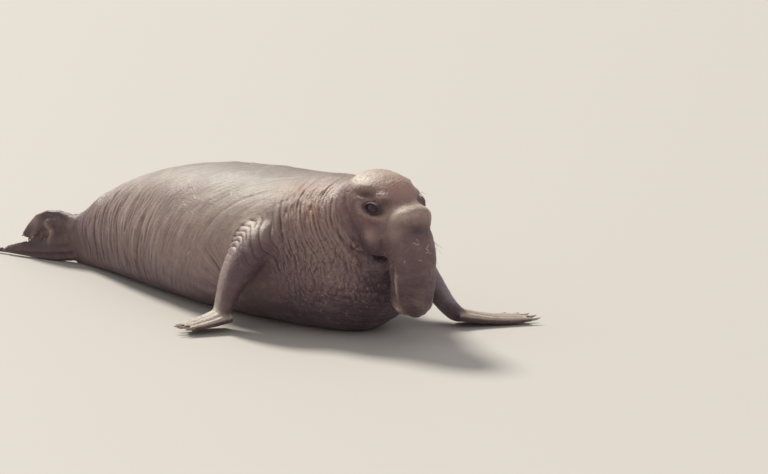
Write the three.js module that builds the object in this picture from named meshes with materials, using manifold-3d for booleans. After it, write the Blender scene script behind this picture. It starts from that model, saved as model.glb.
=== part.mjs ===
// Adult bull northern elephant seal, propped on its fore flippers. Millimetres, +X forward, +Z up, sand at z = 0.
import * as THREE from 'three';
import { mergeVertices } from 'three/addons/utils/BufferGeometryUtils.js';
import Module from 'manifold-3d';

const wasm = await Module();
wasm.setup();

// Driving dimensions
const GAP = 0.3; // clear distance between neighbouring bodies
const ORIGIN_X = -888; // middle of the length, measured from the root of the fore flippers
const ORIGIN_Y = -13;
const TRUNK_SEGMENTS = 38;
const TRUNK_STEP = 88;
const HEAD_SEGMENTS = 28;
const EYE = { near: [914, 188, 836], radius: 46, bulge: 18, lid: 10 };
const NECK_BACK = 430;
const CHEST_BACK = -180;
const TORSO_BACK = -930;
const RUMP_BACK = -1560;
const STOCK_BACK = -2290;
const NOSE_CUT = 4.55; // station of the head table where the proboscis begins

// Trunk stations: x, centre y, half width, crest z, widest z, belly z, upper and lower fullness
const TRUNK = [
  [-2330, -228, 98, 330, 190, -14, 2.0, 2.1],
  [-2230, -205, 135, 392, 210, -24, 2.0, 2.1],
  [-2080, -165, 200, 500, 250, -34, 2.0, 2.2],
  [-1850, -110, 292, 628, 290, -42, 2.0, 2.3],
  [-1600, -68, 378, 718, 325, -48, 2.05, 2.4],
  [-1300, -32, 458, 792, 358, -52, 2.1, 2.5],
  [-950, -10, 525, 858, 382, -55, 2.1, 2.6],
  [-600, 0, 560, 890, 400, -55, 2.1, 2.6],
  [-250, 0, 565, 908, 420, -50, 2.1, 2.5],
  [50, 0, 545, 925, 445, -42, 2.1, 2.4],
  [300, 0, 505, 948, 465, -34, 2.1, 2.3],
  [500, 0, 450, 950, 470, -24, 2.1, 2.2],
  [640, 0, 395, 905, 455, 8, 2.1, 2.1],
  [740, 0, 325, 805, 420, 70, 2.1, 2.1],
  [810, 0, 245, 685, 385, 135, 2.0, 2.0],
  [855, 0, 150, 550, 350, 205, 2.0, 2.0],
  [872, 0, 55, 425, 325, 265, 2.0, 2.0],
];

// Head stations: centre x, centre z, forward pitch in degrees, half width, brow side, throat side, fullness
const HEAD = [
  [520, 700, -6, 240, 215, 250, 2.2],
  [640, 742, 0, 258, 280, 285, 2.15],
  [740, 748, 8, 250, 285, 290, 2.1],
  [830, 735, 20, 218, 270, 286, 2.1],
  [900, 718, 38, 182, 200, 245, 2.1],
  [948, 682, 50, 168, 214, 205, 2.1],
  [988, 638, 61, 158, 186, 172, 2.1],
  [1017, 585, 70, 152, 182, 148, 2.1],
  [1040, 518, 80, 148, 174, 134, 2.1],
  [1050, 440, 88, 146, 167, 128, 2.1],
  [1052, 350, 92, 142, 157, 126, 2.1],
  [1045, 262, 96, 134, 144, 122, 2.1],
  [1038, 205, 98, 112, 118, 106, 2.1],
  [1032, 168, 99, 70, 74, 68, 2.0],
];

const JAW = [
  [640, 440, 0, 205, 100, 105, 2.2],
  [760, 438, 0, 196, 104, 104, 2.2],
  [840, 434, 6, 176, 98, 102, 2.2],
  [895, 428, 12, 142, 84, 90, 2.1],
  [925, 424, 14, 100, 58, 62, 2.0],
];

// Swelling at the top of the proboscis and its cross folds: station, height, half width in stations
const NOSE_FOLDS = [
  [5.0, 12, 0.7],
  [5.9, -13, 0.26],
  [8.7, -6, 0.16],
  [9.6, -7, 0.16],
  [10.4, -7, 0.16],
];
const LIP = { height: 9, angle: 38, half: 17 }; // rim along each side of the jaw, in degrees from level
const MOUTH = { at: [858, 0, 524], length: 180, width: 196, half: 7, slope: 0.1 };

const lerp = (a, b, t) => a + (b - a) * t;

// Smooth interpolation of a station table at a fractional row number
function row(table, t) {
  const i = Math.min(Math.max(Math.floor(t), 0), table.length - 2);
  const f = Math.min(Math.max(t - i, 0), 1);
  const at = (k) => table[Math.min(Math.max(k, 0), table.length - 1)];
  return table[0].map((_, c) => {
    const p1 = at(i)[c];
    const p2 = at(i + 1)[c];
    const m1 = i > 0 ? (p2 - at(i - 1)[c]) / 2 : p2 - p1;
    const m2 = i < table.length - 2 ? (at(i + 2)[c] - p1) / 2 : p2 - p1;
    const f2 = f * f;
    const f3 = f2 * f;
    return (2 * f3 - 3 * f2 + 1) * p1 + (f3 - 2 * f2 + f) * m1 + (3 * f2 - 2 * f3) * p2 + (f3 - f2) * m2;
  });
}

// Monotone interpolation over the first column, for the trunk
function trunkAt(x) {
  let i = 0;
  while (i < TRUNK.length - 2 && x > TRUNK[i + 1][0]) i += 1;
  const x1 = TRUNK[i][0];
  const x2 = TRUNK[i + 1][0];
  const f = (x - x1) / (x2 - x1);
  const slope = (k, c) => {
    const a = TRUNK[Math.max(k - 1, 0)];
    const b = TRUNK[Math.min(k + 1, TRUNK.length - 1)];
    return (b[c] - a[c]) / (b[0] - a[0]);
  };
  const f2 = f * f;
  const f3 = f2 * f;
  return TRUNK[i].map((p1, c) => {
    const p2 = TRUNK[i + 1][c];
    const h = x2 - x1;
    return (2 * f3 - 3 * f2 + 1) * p1 + (f3 - 2 * f2 + f) * h * slope(i, c)
      + (3 * f2 - 2 * f3) * p2 + (f3 - f2) * h * slope(i + 1, c);
  });
}

const power = (v, n) => Math.sign(v) * Math.abs(v) ** (2 / n);

function trunkRing(x, grow) {
  const [, yc, w, top, wide, belly, nu, nl] = trunkAt(x);
  const ring = [];
  for (let k = 0; k < TRUNK_SEGMENTS; k += 1) {
    const a = (2 * Math.PI * k) / TRUNK_SEGMENTS;
    const n = Math.sin(a) >= 0 ? nu : nl;
    const y = yc + (w + grow) * power(Math.cos(a), n);
    const reach = Math.sin(a) >= 0 ? top - wide + grow : wide - belly + grow;
    const z = wide + reach * power(Math.sin(a), n);
    ring.push(new THREE.Vector3(x, y, Math.max(z, -grow)));
  }
  return ring;
}

const bell = (v, half) => Math.exp(-((v / half) ** 2));

// Height of the proboscis's folds, strongest in front and gone at its back
const noseRelief = (t, a) => NOSE_FOLDS.reduce(
  (sum, [at, height, half]) => sum + height * bell(t - at, half) * (0.5 + 0.5 * Math.sin(a)),
  0,
);

// Height of the lower lip
function lipRelief(t, a) {
  const level = THREE.MathUtils.radToDeg(Math.asin(Math.sin(a)));
  return LIP.height * bell(level - LIP.angle, LIP.half);
}

const smooth = () => 0;

// Ring square to a spine that runs in the plane of symmetry
function spineRing(table, t, grow, relief) {
  const [cx, cz, pitch, w, up, down, n] = row(table, t);
  const a0 = THREE.MathUtils.degToRad(pitch);
  const ring = [];
  for (let k = 0; k < HEAD_SEGMENTS; k += 1) {
    const a = (2 * Math.PI * k) / HEAD_SEGMENTS;
    const proud = grow + relief(t, a);
    const r = (Math.sin(a) >= 0 ? up : down) + proud;
    const h = r * power(Math.sin(a), n);
    const y = (w + proud) * power(Math.cos(a), n);
    ring.push(new THREE.Vector3(cx + h * Math.sin(a0), y, cz + h * Math.cos(a0)));
  }
  return ring;
}

// Point and outward direction of a table's surface closest to a target on its left side
function surfaceNear(table, target) {
  const goal = new THREE.Vector3(...target);
  const point = (t, a) => {
    const [cx, cz, pitch, w, up, down, n] = row(table, t);
    const a0 = THREE.MathUtils.degToRad(pitch);
    const h = (Math.sin(a) >= 0 ? up : down) * power(Math.sin(a), n);
    return new THREE.Vector3(cx + h * Math.sin(a0), w * power(Math.cos(a), n), cz + h * Math.cos(a0));
  };
  let best = { far: Infinity };
  for (let t = 0; t <= table.length - 1; t += 0.02) {
    for (let a = -1.5; a <= 1.5; a += 0.02) {
      const far = point(t, a).distanceTo(goal);
      if (far < best.far) best = { far, t, a };
    }
  }
  const at = point(best.t, best.a);
  const dt = point(best.t + 0.05, best.a).sub(at);
  const da = point(best.t, best.a + 0.05).sub(at);
  return { at, normal: new THREE.Vector3().crossVectors(da, dt).normalize() };
}

// Closed skin through a row of rings with the same number of points, ends closed by fans
function loft(rings) {
  const n = rings[0].length;
  const points = rings.flat();
  const first = new THREE.Vector3();
  rings[0].forEach((p) => first.addScaledVector(p, 1 / n));
  const last = new THREE.Vector3();
  rings[rings.length - 1].forEach((p) => last.addScaledVector(p, 1 / n));
  points.push(first, last);
  const index = [];
  for (let i = 0; i + 1 < rings.length; i += 1) {
    for (let k = 0; k < n; k += 1) {
      const a = i * n + k;
      const b = i * n + ((k + 1) % n);
      index.push(a, b, a + n, b, b + n, a + n);
    }
  }
  const end = (rings.length - 1) * n;
  for (let k = 0; k < n; k += 1) {
    const m = (k + 1) % n;
    index.push(m, k, points.length - 2);
    index.push(end + k, end + m, points.length - 1);
  }
  const geometry = new THREE.BufferGeometry().setFromPoints(points);
  geometry.setIndex(index);
  return geometry;
}

// Bodies for joining and cutting
function solid(geometry) {
  const bare = geometry.clone();
  bare.deleteAttribute('normal');
  bare.deleteAttribute('uv');
  const merged = mergeVertices(bare, 1e-3);
  const mesh = new wasm.Mesh({
    numProp: 3,
    vertProperties: new Float32Array(merged.attributes.position.array),
    triVerts: new Uint32Array(merged.index.array),
  });
  let body = new wasm.Manifold(mesh);
  if (body.volume() < 0) {
    const flipped = new Uint32Array(mesh.triVerts);
    for (let i = 0; i < flipped.length; i += 3) {
      [flipped[i], flipped[i + 1]] = [flipped[i + 1], flipped[i]];
    }
    body = new wasm.Manifold(new wasm.Mesh({ numProp: 3, vertProperties: mesh.vertProperties, triVerts: flipped }));
  }
  return body;
}

function geometryOf(body) {
  const mesh = body.getMesh();
  const geometry = new THREE.BufferGeometry();
  geometry.setAttribute('position', new THREE.BufferAttribute(new Float32Array(mesh.vertProperties), 3));
  geometry.setIndex(new THREE.BufferAttribute(new Uint32Array(mesh.triVerts), 1));
  geometry.computeVertexNormals();
  return geometry;
}

const joined = (bodies) => bodies.reduce((a, b) => a.add(b));

// Main piece of a body after a cut, without loose crumbs
const main = (body) => body.decompose().reduce((a, b) => (b.volume() > a.volume() ? b : a));

function steps(from, to, step) {
  const count = Math.max(1, Math.round(Math.abs(to - from) / step));
  return Array.from({ length: count + 1 }, (_, i) => lerp(from, to, i / count));
}

// The trunk's rings: the joints between its lengths have a ring on each side of the gap
const JOINTS = [RUMP_BACK, TORSO_BACK, CHEST_BACK, NECK_BACK];
const trunkRows = [...JOINTS, 640].flatMap((x, i) => {
  const from = i === 0 ? STOCK_BACK : JOINTS[i - 1] + GAP / 2;
  return steps(from, i < JOINTS.length ? x - GAP / 2 : x, TRUNK_STEP);
}).concat([680, 715, 745, 775, 800, 822, 842, 858, 867, 872]);

const trunkBody = (from, to, grow = 0) => solid(loft(
  trunkRows.filter((x) => x > from && x < to).map((x) => trunkRing(x, grow)),
));

const spineBody = (table, stations, grow = 0, relief = smooth) => solid(loft(
  stations.map((t) => spineRing(table, t, grow, relief)),
));

function ball(x, y, z, radius, scale = [1, 1, 1], turn = [0, 0, 0], detail = 20) {
  const geometry = new THREE.SphereGeometry(radius, detail, Math.round(detail * 0.6));
  const matrix = new THREE.Matrix4().compose(
    new THREE.Vector3(x, y, z),
    new THREE.Quaternion().setFromEuler(new THREE.Euler(...turn)),
    new THREE.Vector3(...scale),
  );
  return solid(geometry.applyMatrix4(matrix));
}

// Everything below the sand line is trimmed away
const floorBlock = solid(new THREE.BoxGeometry(6000, 6000, 400).translate(0, 0, -200));

// Limb whose rings lie across a path: path points, chord directions, half chords, half thicknesses
function limb(stations, chordwise, grow = 0, segments = 20) {
  const curve = new THREE.CatmullRomCurve3(stations.map((s) => new THREE.Vector3(...s.at)));
  const count = (stations.length - 1) * 2;
  const rings = [];
  for (let i = 0; i <= count; i += 1) {
    const t = (i / count) * (stations.length - 1);
    const [half, thick] = row(stations.map((s) => s.size), t);
    const centre = curve.getPoint(i / count);
    const along = curve.getTangent(i / count);
    if (i === count) centre.addScaledVector(along, grow);
    const chord = chordwise(i / count);
    chord.addScaledVector(along, -chord.dot(along)).normalize();
    const face = new THREE.Vector3().crossVectors(along, chord).normalize();
    const ring = [];
    for (let k = 0; k < segments; k += 1) {
      const a = (2 * Math.PI * k) / segments;
      ring.push(centre.clone()
        .addScaledVector(chord, (half + grow) * power(Math.cos(a), 2.1))
        .addScaledVector(face, (thick + grow) * power(Math.sin(a), 2.1)));
    }
    rings.push(ring);
  }
  return solid(loft(rings));
}

// Round tapered tube along a curve: a digit or a claw
function tube(points, radii, segments, rows) {
  const curve = new THREE.CatmullRomCurve3(points);
  const rings = [];
  const side = new THREE.Vector3(0, 0, 1);
  for (let i = 0; i <= rows; i += 1) {
    const u = i / rows;
    const along = curve.getTangent(u);
    const across = new THREE.Vector3().crossVectors(along, side).normalize();
    const over = new THREE.Vector3().crossVectors(across, along);
    const [r] = row(radii.map((v) => [v]), u * (radii.length - 1));
    const centre = curve.getPoint(u);
    rings.push(Array.from({ length: segments }, (_, k) => {
      const a = (2 * Math.PI * k) / segments;
      return centre.clone().addScaledVector(across, r * Math.cos(a)).addScaledVector(over, r * Math.sin(a));
    }));
  }
  return solid(loft(rings));
}

// Flipper: skin over five digits that stand out of it as rays, thick at the root, scalloped and clawed at the edge
function flipper(guides, rays, web, ray, claw) {
  const curves = guides.map((d) => new THREE.CatmullRomCurve3(d.map((p) => new THREE.Vector3(...p))));
  const last = curves.length - 1;
  const rows = 6;
  const columns = last * 4;
  const ridge = (v) => Math.max(...rays.map((k) => {
    const off = Math.min(1, Math.abs(v * last - k) / 0.62);
    return Math.cos((off * Math.PI) / 2) ** 2;
  }));
  const surface = (u, v) => {
    const reach = u * (0.94 + 0.06 * ridge(v));
    return new THREE.CatmullRomCurve3(curves.map((c) => c.getPoint(reach))).getPoint(v);
  };
  const ringAt = (u) => {
    const line = [];
    for (let j = 0; j <= columns; j += 1) {
      const v = j / columns;
      const e = 0.03;
      const du = surface(Math.min(u + e, 1), v).sub(surface(Math.max(u - e, 0), v));
      const dv = surface(u, Math.min(v + e, 1)).sub(surface(u, Math.max(v - e, 0))).normalize();
      const normal = new THREE.Vector3().crossVectors(du, dv).normalize();
      const half = lerp(lerp(web[0], web[1], u), row(ray.map((r) => [r]), u * (ray.length - 1))[0], ridge(v));
      const at = surface(u, v);
      if (j === 0) line.push({ at: at.clone().addScaledVector(dv, -0.7 * half), normal, half: 0.45 * half });
      line.push({ at, normal, half });
      if (j === columns) line.push({ at: at.clone().addScaledVector(dv, 0.7 * half), normal, half: 0.45 * half });
    }
    const over = line.map((p) => p.at.clone().addScaledVector(p.normal, p.half));
    const under = line.map((p) => p.at.clone().addScaledVector(p.normal, -p.half));
    return over.concat(under.reverse());
  };
  const bodies = [solid(loft(Array.from({ length: rows + 1 }, (_, i) => ringAt(i / rows))))];
  const [length, thick, lift] = claw;
  for (const k of rays) {
    const tip = curves[k].getPoint(1);
    const ahead = curves[k].getTangent(1);
    const rise = (f) => tip.clone().addScaledVector(ahead, length * f).add(new THREE.Vector3(0, 0, lift * f * f));
    bodies.push(tube([rise(-0.5), rise(0.45), rise(1)], [thick, thick * 0.85, thick * 0.3], 5, 2));
  }
  return joined(bodies);
}

const trunkCutter = trunkBody(-Infinity, Infinity, GAP);

const nodes = {};

// Trunk in five lengths
nodes.neck = trunkBody(NECK_BACK, Infinity);
nodes.chest = trunkBody(CHEST_BACK, NECK_BACK);
nodes.torso = trunkBody(TORSO_BACK, CHEST_BACK);
nodes.rump = trunkBody(RUMP_BACK, TORSO_BACK);
nodes.tail_stock = trunkBody(-Infinity, RUMP_BACK);

// Short tail between the hind flippers
const tail = tube([
  new THREE.Vector3(-2250, -210, 265), new THREE.Vector3(-2340, -226, 262), new THREE.Vector3(-2430, -240, 240),
], [40, 32, 12], 12, 5);
nodes.tail = tail.subtract(trunkCutter);

// Head, with brows, lids and cheeks
const socket = surfaceNear(HEAD, EYE.near);
const eyeCentre = (side) => {
  const c = socket.at.clone().addScaledVector(socket.normal, EYE.bulge - EYE.radius);
  return new THREE.Vector3(c.x, side * c.y, c.z);
};
const lids = (side) => {
  const ring = new THREE.TorusGeometry(EYE.radius * 0.98, EYE.lid, 5, 14);
  const out = new THREE.Vector3(socket.normal.x, side * socket.normal.y, socket.normal.z);
  const up = new THREE.Vector3(0.1, 0, 1).addScaledVector(out, -out.z).normalize();
  const fore = new THREE.Vector3().crossVectors(up, out);
  const centre = new THREE.Vector3(socket.at.x, side * (socket.at.y - 3), socket.at.z);
  const matrix = new THREE.Matrix4().makeBasis(fore, up, out).scale(new THREE.Vector3(1.25, 0.8, 1.1));
  return solid(ring.applyMatrix4(matrix.setPosition(centre)));
};
const headFull = (grow) => spineBody(HEAD, steps(0, NOSE_CUT, 0.5), grow);
const cheeks = (grow) => joined([-1, 1].map((side) => ball(
  852, side * 90, 672, 152 + grow, [0.98, 0.85, 1.1], [0, 0, 0], 20,
)));
let head = headFull(0);
for (const side of [-1, 1]) {
  head = head.add(ball(902, side * 94, 904, 64, [0.95, 1.1, 0.66], [side * -0.35, 0.3, 0], 12));
  head = head.add(lids(side));
}
head = head.add(cheeks(0));
for (const side of [-1, 1]) {
  const c = eyeCentre(side);
  head = head.subtract(ball(c.x, c.y, c.z, EYE.radius + 3, [1, 1, 1], [0, 0, 0], 16));
}
const [mouthX, mouthY, mouthZ] = MOUTH.at;
const mouthScale = [1, MOUTH.width / MOUTH.length, MOUTH.half / MOUTH.length];
const mouth = ball(mouthX, mouthY, mouthZ, MOUTH.length, mouthScale, [0, MOUTH.slope, 0]);

// The proboscis has a station at each fold's bottom and shoulders
const noseRows = steps(NOSE_CUT, HEAD.length - 1, 0.42).slice(1).concat(
  NOSE_FOLDS.filter(([, height]) => height < 0).flatMap(([at, , half]) => [at - half, at, at + half]),
).sort((a, b) => a - b);
const noseCutter = spineBody(HEAD, [NOSE_CUT, ...noseRows], GAP, noseRelief);
nodes.head = main(head.subtract(trunkCutter).subtract(noseCutter).subtract(mouth));

// Proboscis with its folds, the nostrils at its end and the flap of lip that hangs behind it
let nose = spineBody(HEAD, [NOSE_CUT + 0.01, ...noseRows], 0, noseRelief);
nose = nose.add(ball(926, 0, 232, 82, [0.42, 0.75, 1], [0, 0.2, 0], 12));
for (const side of [-1, 1]) {
  nose = nose.subtract(ball(1062, side * 50, 160, 27, [1.25, 0.8, 1.5], [0, 0.3, 0], 12));
}

nodes.lower_jaw = main(spineBody(JAW, steps(0, JAW.length - 1, 0.5), 0, lipRelief)
  .subtract(trunkCutter)
  .subtract(headFull(GAP))
  .subtract(cheeks(GAP))
  .subtract(noseCutter)
  .subtract(mouth));
nodes.proboscis = nose.subtract(trunkCutter);

// Fore limbs: arm in two folds of skin down to the wrist, then the clawed hand
const arms = {
  right: {
    path: [
      { at: [118, -330, 560], size: [160, 90] },
      { at: [118, -420, 556], size: [204, 142] },
      { at: [110, -505, 510], size: [192, 126] },
      { at: [88, -580, 415], size: [166, 100] },
      { at: [62, -628, 320], size: [140, 82] },
      { at: [40, -655, 230], size: [122, 66] },
      { at: [26, -676, 150], size: [112, 54] },
      { at: [22, -696, 88], size: [96, 42] },
      { at: [20, -712, 52], size: [50, 22] },
    ],
    chord: (u) => new THREE.Vector3(1, lerp(-0.15, -0.45, u), lerp(0.1, -0.15, u)),
    digits: [
      [[108, -676, 84], [100, -780, 64], [84, -880, 52], [68, -955, 48]],
      [[76, -676, 102], [60, -785, 78], [38, -890, 58], [20, -975, 50]],
      [[34, -668, 112], [14, -770, 84], [-14, -872, 60], [-32, -962, 48]],
      [[-8, -656, 110], [-34, -742, 80], [-58, -835, 58], [-76, -918, 44]],
      [[-44, -642, 92], [-72, -708, 66], [-94, -782, 46], [-110, -848, 36]],
    ],
  },
  left: {
    path: [
      { at: [205, 285, 530], size: [150, 90] },
      { at: [290, 365, 502], size: [188, 136] },
      { at: [410, 445, 415], size: [165, 115] },
      { at: [535, 490, 305], size: [130, 92] },
      { at: [650, 505, 212], size: [100, 74] },
      { at: [750, 506, 138], size: [86, 62] },
      { at: [832, 520, 84], size: [86, 52] },
      { at: [872, 556, 58], size: [72, 36] },
      { at: [888, 586, 44], size: [40, 18] },
    ],
    chord: (u) => new THREE.Vector3(lerp(0.6, 0.75, u), lerp(-0.6, -0.55, u), 0.6),
    digits: [
      [[895, 500, 70], [975, 640, 42], [1050, 790, 30], [1110, 925, 32]],
      [[865, 520, 85], [930, 665, 52], [995, 815, 34], [1045, 950, 34]],
      [[830, 540, 80], [885, 680, 50], [935, 820, 34], [980, 945, 34]],
      [[795, 555, 65], [840, 685, 42], [885, 800, 30], [920, 910, 32]],
      [[765, 565, 45], [800, 670, 30], [835, 765, 26], [862, 850, 30]],
    ],
  },
};
for (const [side, arm] of Object.entries(arms)) {
  const upper = limb(arm.path, arm.chord).subtract(trunkCutter).subtract(floorBlock);
  const hand = flipper(arm.digits, [0, 1, 2, 3, 4], [30, 9], [40, 28, 22, 14], [46, 8, 12]);
  nodes[`fore_arm_${side}`] = upper;
  const wrist = limb(arm.path, arm.chord, 2 * GAP);
  nodes[`hand_${side}`] = main(hand.subtract(wrist).subtract(trunkCutter).subtract(floorBlock));
}

// Hind flippers: long outer digits, short middle ones, so the free edge is a crescent
const hind = {
  right: [
    [[-2240, -262, 60], [-2440, -335, 22], [-2700, -440, 16], [-2980, -525, 14]],
    [[-2235, -275, 115], [-2420, -338, 75], [-2620, -412, 54], [-2840, -484, 46]],
    [[-2230, -282, 170], [-2340, -320, 150], [-2430, -350, 140], [-2510, -374, 142]],
    [[-2230, -282, 215], [-2330, -310, 232], [-2400, -335, 238], [-2465, -355, 232]],
    [[-2230, -280, 250], [-2370, -330, 282], [-2500, -385, 258], [-2605, -420, 150]],
    [[-2235, -275, 290], [-2400, -320, 336], [-2590, -385, 298], [-2720, -425, 148]],
  ],
  left: [
    [[-2240, -132, 55], [-2420, -150, 26], [-2600, -165, 20], [-2800, -175, 16]],
    [[-2240, -138, 105], [-2410, -152, 66], [-2560, -166, 48], [-2720, -178, 40]],
    [[-2240, -140, 150], [-2350, -150, 130], [-2430, -158, 120], [-2500, -165, 118]],
    [[-2240, -140, 190], [-2340, -150, 196], [-2410, -158, 196], [-2475, -165, 188]],
    [[-2240, -138, 225], [-2370, -150, 240], [-2500, -165, 216], [-2590, -178, 140]],
    [[-2240, -134, 262], [-2390, -148, 292], [-2540, -166, 258], [-2650, -182, 140]],
  ],
};
for (const [side, digits] of Object.entries(hind)) {
  const fan = flipper(digits, [0, 1, 2, 4, 5], [34, 9], [48, 34, 25, 15], [14, 6, 2]);
  nodes[`hind_flipper_${side}`] = fan.subtract(trunkCutter).subtract(floorBlock);
}

const colours = {
  neck: 0x7d6558, chest: 0x77685c, torso: 0x7f7568, rump: 0x7f7568, tail_stock: 0x7a6e62, tail: 0x6d6056,
  head: 0x7c6759, lower_jaw: 0x6c564c, proboscis: 0x66524a,
};
const group = new THREE.Group();
group.name = 'elephant_seal';
for (const [name, body] of Object.entries(nodes)) {
  const material = new THREE.MeshStandardMaterial({ color: colours[name] ?? 0x75685d, roughness: 0.6 });
  const mesh = new THREE.Mesh(geometryOf(body), material);
  mesh.name = name;
  mesh.position.set(-ORIGIN_X, -ORIGIN_Y, 0);
  group.add(mesh);
}
for (const side of [-1, 1]) {
  const material = new THREE.MeshStandardMaterial({ color: 0x1b1512, roughness: 0.15 });
  const mesh = new THREE.Mesh(new THREE.SphereGeometry(EYE.radius, 18, 12), material);
  mesh.name = side < 0 ? 'eye_right' : 'eye_left';
  mesh.position.copy(eyeCentre(side)).sub(new THREE.Vector3(ORIGIN_X, ORIGIN_Y, 0));
  group.add(mesh);
}

export default group;
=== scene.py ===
"""Adult bull northern elephant seal: one wrinkled skin over the body, with eyes, claws and whiskers."""

import itertools
import math

import bmesh
import bpy
import numpy as np
from mathutils import Matrix, Vector
from mathutils.bvhtree import BVHTree


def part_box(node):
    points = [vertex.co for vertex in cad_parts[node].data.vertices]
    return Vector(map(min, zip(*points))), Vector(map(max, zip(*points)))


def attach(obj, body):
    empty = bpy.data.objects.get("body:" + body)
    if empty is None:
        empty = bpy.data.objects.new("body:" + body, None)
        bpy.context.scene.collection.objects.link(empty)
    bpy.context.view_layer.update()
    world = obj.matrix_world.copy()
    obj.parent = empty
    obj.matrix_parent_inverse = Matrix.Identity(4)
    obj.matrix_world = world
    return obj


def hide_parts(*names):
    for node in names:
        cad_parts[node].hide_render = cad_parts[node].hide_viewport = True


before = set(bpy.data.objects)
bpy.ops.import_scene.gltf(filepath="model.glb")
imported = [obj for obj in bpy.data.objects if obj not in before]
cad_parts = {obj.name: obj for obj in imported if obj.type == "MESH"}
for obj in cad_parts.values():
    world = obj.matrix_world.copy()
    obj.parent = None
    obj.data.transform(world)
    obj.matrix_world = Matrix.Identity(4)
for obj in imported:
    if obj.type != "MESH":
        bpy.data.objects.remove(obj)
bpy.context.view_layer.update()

# Floor under the root of the fore flippers, which every place below is measured from, in metres
ROOT = np.array([0.888, 0.013, 0.0])
# Edge of the voxels that join the flesh, and the least height of the skin over the floor, in metres
VOXEL = 0.0066
CLEARANCE = 0.0005
FLESH = [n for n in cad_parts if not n.startswith("eye")]
EYE_RADIUS = 0.046
SEED = 7


# Arrays and noise


def unit(v):
    v = np.asarray(v, float)
    return v / np.maximum(np.linalg.norm(v, axis=-1, keepdims=True), 1e-12)


def step(low, high, v):
    t = np.clip((v - low) / (high - low), 0, 1)
    return t * t * (3 - 2 * t)


def make_gradients(seed):
    rng = np.random.default_rng(seed)
    return rng.permutation(256), unit(rng.normal(size=(256, 3)))


PERMUTATION, GRADIENTS = make_gradients(SEED)


def noise(points, shift=0):
    """Gradient noise, about -0.6 to 0.6, at points measured in cells."""
    cell = np.floor(points).astype(np.int64)
    part = points - cell
    fade = part**3 * (part * (part * 6 - 15) + 10)
    total = np.zeros(len(points))
    for corner in itertools.product((0, 1), repeat=3):
        at = cell + corner
        key = PERMUTATION[(at[:, 0] + shift) & 255]
        key = PERMUTATION[(key + at[:, 1]) & 255]
        key = PERMUTATION[(key + at[:, 2]) & 255]
        offset = part - corner
        weight = np.prod(np.where(corner, fade, 1 - fade), axis=1)
        total += weight * np.einsum("ij,ij->i", GRADIENTS[key], offset)
    return total


def fractal(points, octaves, shift=0, gain=0.5):
    total = np.zeros(len(points))
    for k in range(octaves):
        total += gain**k * noise(points * 2.03**k, shift + 17 * k)
    return total


def cracks(points, octaves, shift=0, gain=0.5):
    """Rounded lumps from 1 down to 0 in the sharp cracks between them."""
    total = np.zeros(len(points))
    size = 0.0
    for k in range(octaves):
        total += gain**k * np.minimum(1, 2.3 * np.abs(noise(points * 2.1**k, shift + 29 * k))) ** 0.8
        size += gain**k
    return total / size


def fold(phase, sharp):
    """Rolls of skin, one per unit of phase: 1 on their crests and 0 in the sharp creases between them."""
    return np.abs(np.sin(np.pi * phase)) ** sharp


def creases(s, t, u, period, length, shift, octaves=2):
    """0 on open skin and up to 1 in long broken creases that lie about a period apart across s."""
    return 1 - cracks(np.stack([s / period, t / length, u / length], 1), octaves, shift)


# Masks count as empty under this
MASK_EDGE = 0.004


def local(mask, p, height):
    """A height that is worked out only where its mask says."""
    out = np.zeros(len(p))
    on = mask > MASK_EDGE
    out[on] = mask[on] * height(p[on])
    return out


def near(points, centre, radii, both=True):
    """1 at a place and 0 well away from it, on both sides of the animal unless both is off."""
    p = points.copy()
    if both:
        p[:, 1] = np.abs(p[:, 1])
        centre = (centre[0], abs(centre[1]), centre[2])
    d = (p - centre) / radii
    return np.exp(-np.sum(d * d, axis=1))


# Skin


def flesh_mesh():
    """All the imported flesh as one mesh."""
    corners = []
    faces = []
    count = 0
    for name in FLESH:
        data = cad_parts[name].data
        corners += [tuple(v.co) for v in data.vertices]
        faces += [tuple(i + count for i in p.vertices) for p in data.polygons]
        count = len(corners)
    mesh = bpy.data.meshes.new("flesh")
    mesh.from_pydata(corners, [], faces)
    return mesh


def node_of_faces():
    return [k for k, name in enumerate(FLESH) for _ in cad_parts[name].data.polygons]


def evaluated(obj):
    graph = bpy.context.evaluated_depsgraph_get()
    graph.update()
    mesh = bpy.data.meshes.new_from_object(obj.evaluated_get(graph))
    bpy.data.objects.remove(obj)
    return mesh


def remeshed(mesh, voxel):
    obj = bpy.data.objects.new("remesh", mesh)
    bpy.context.scene.collection.objects.link(obj)
    modifier = obj.modifiers.new("remesh", "REMESH")
    modifier.mode = "VOXEL"
    modifier.voxel_size = voxel
    return evaluated(obj)


def positions(mesh):
    co = np.empty(len(mesh.vertices) * 3, np.float32)
    mesh.vertices.foreach_get("co", co)
    return co.reshape(-1, 3).astype(float)


def place(mesh, co):
    mesh.vertices.foreach_set("co", co.astype(np.float32).ravel())
    mesh.update()


class Net:
    """The edges of a mesh, for averages over each vertex's neighbours."""

    def __init__(self, mesh):
        edges = np.empty(len(mesh.edges) * 2, np.int32)
        mesh.edges.foreach_get("vertices", edges)
        edges = edges.reshape(-1, 2)
        self.start = np.concatenate([edges[:, 0], edges[:, 1]])
        self.end = np.concatenate([edges[:, 1], edges[:, 0]])
        self.count = len(mesh.vertices)
        self.valence = np.maximum(np.bincount(self.start, minlength=self.count), 1)

    def mean(self, values):
        columns = values.reshape(self.count, -1)
        out = [
            np.bincount(self.start, weights=columns[self.end, c], minlength=self.count)
            for c in range(columns.shape[1])
        ]
        return (np.stack(out, 1) / self.valence[:, None]).reshape(values.shape)

    def relax(self, values, times, share=1.0):
        share = np.asarray(share) * 0.5
        if values.ndim == 2 and share.ndim == 1:
            share = share[:, None]
        for _ in range(times):
            values = values + share * (self.mean(values) - values)
        return values


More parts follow.
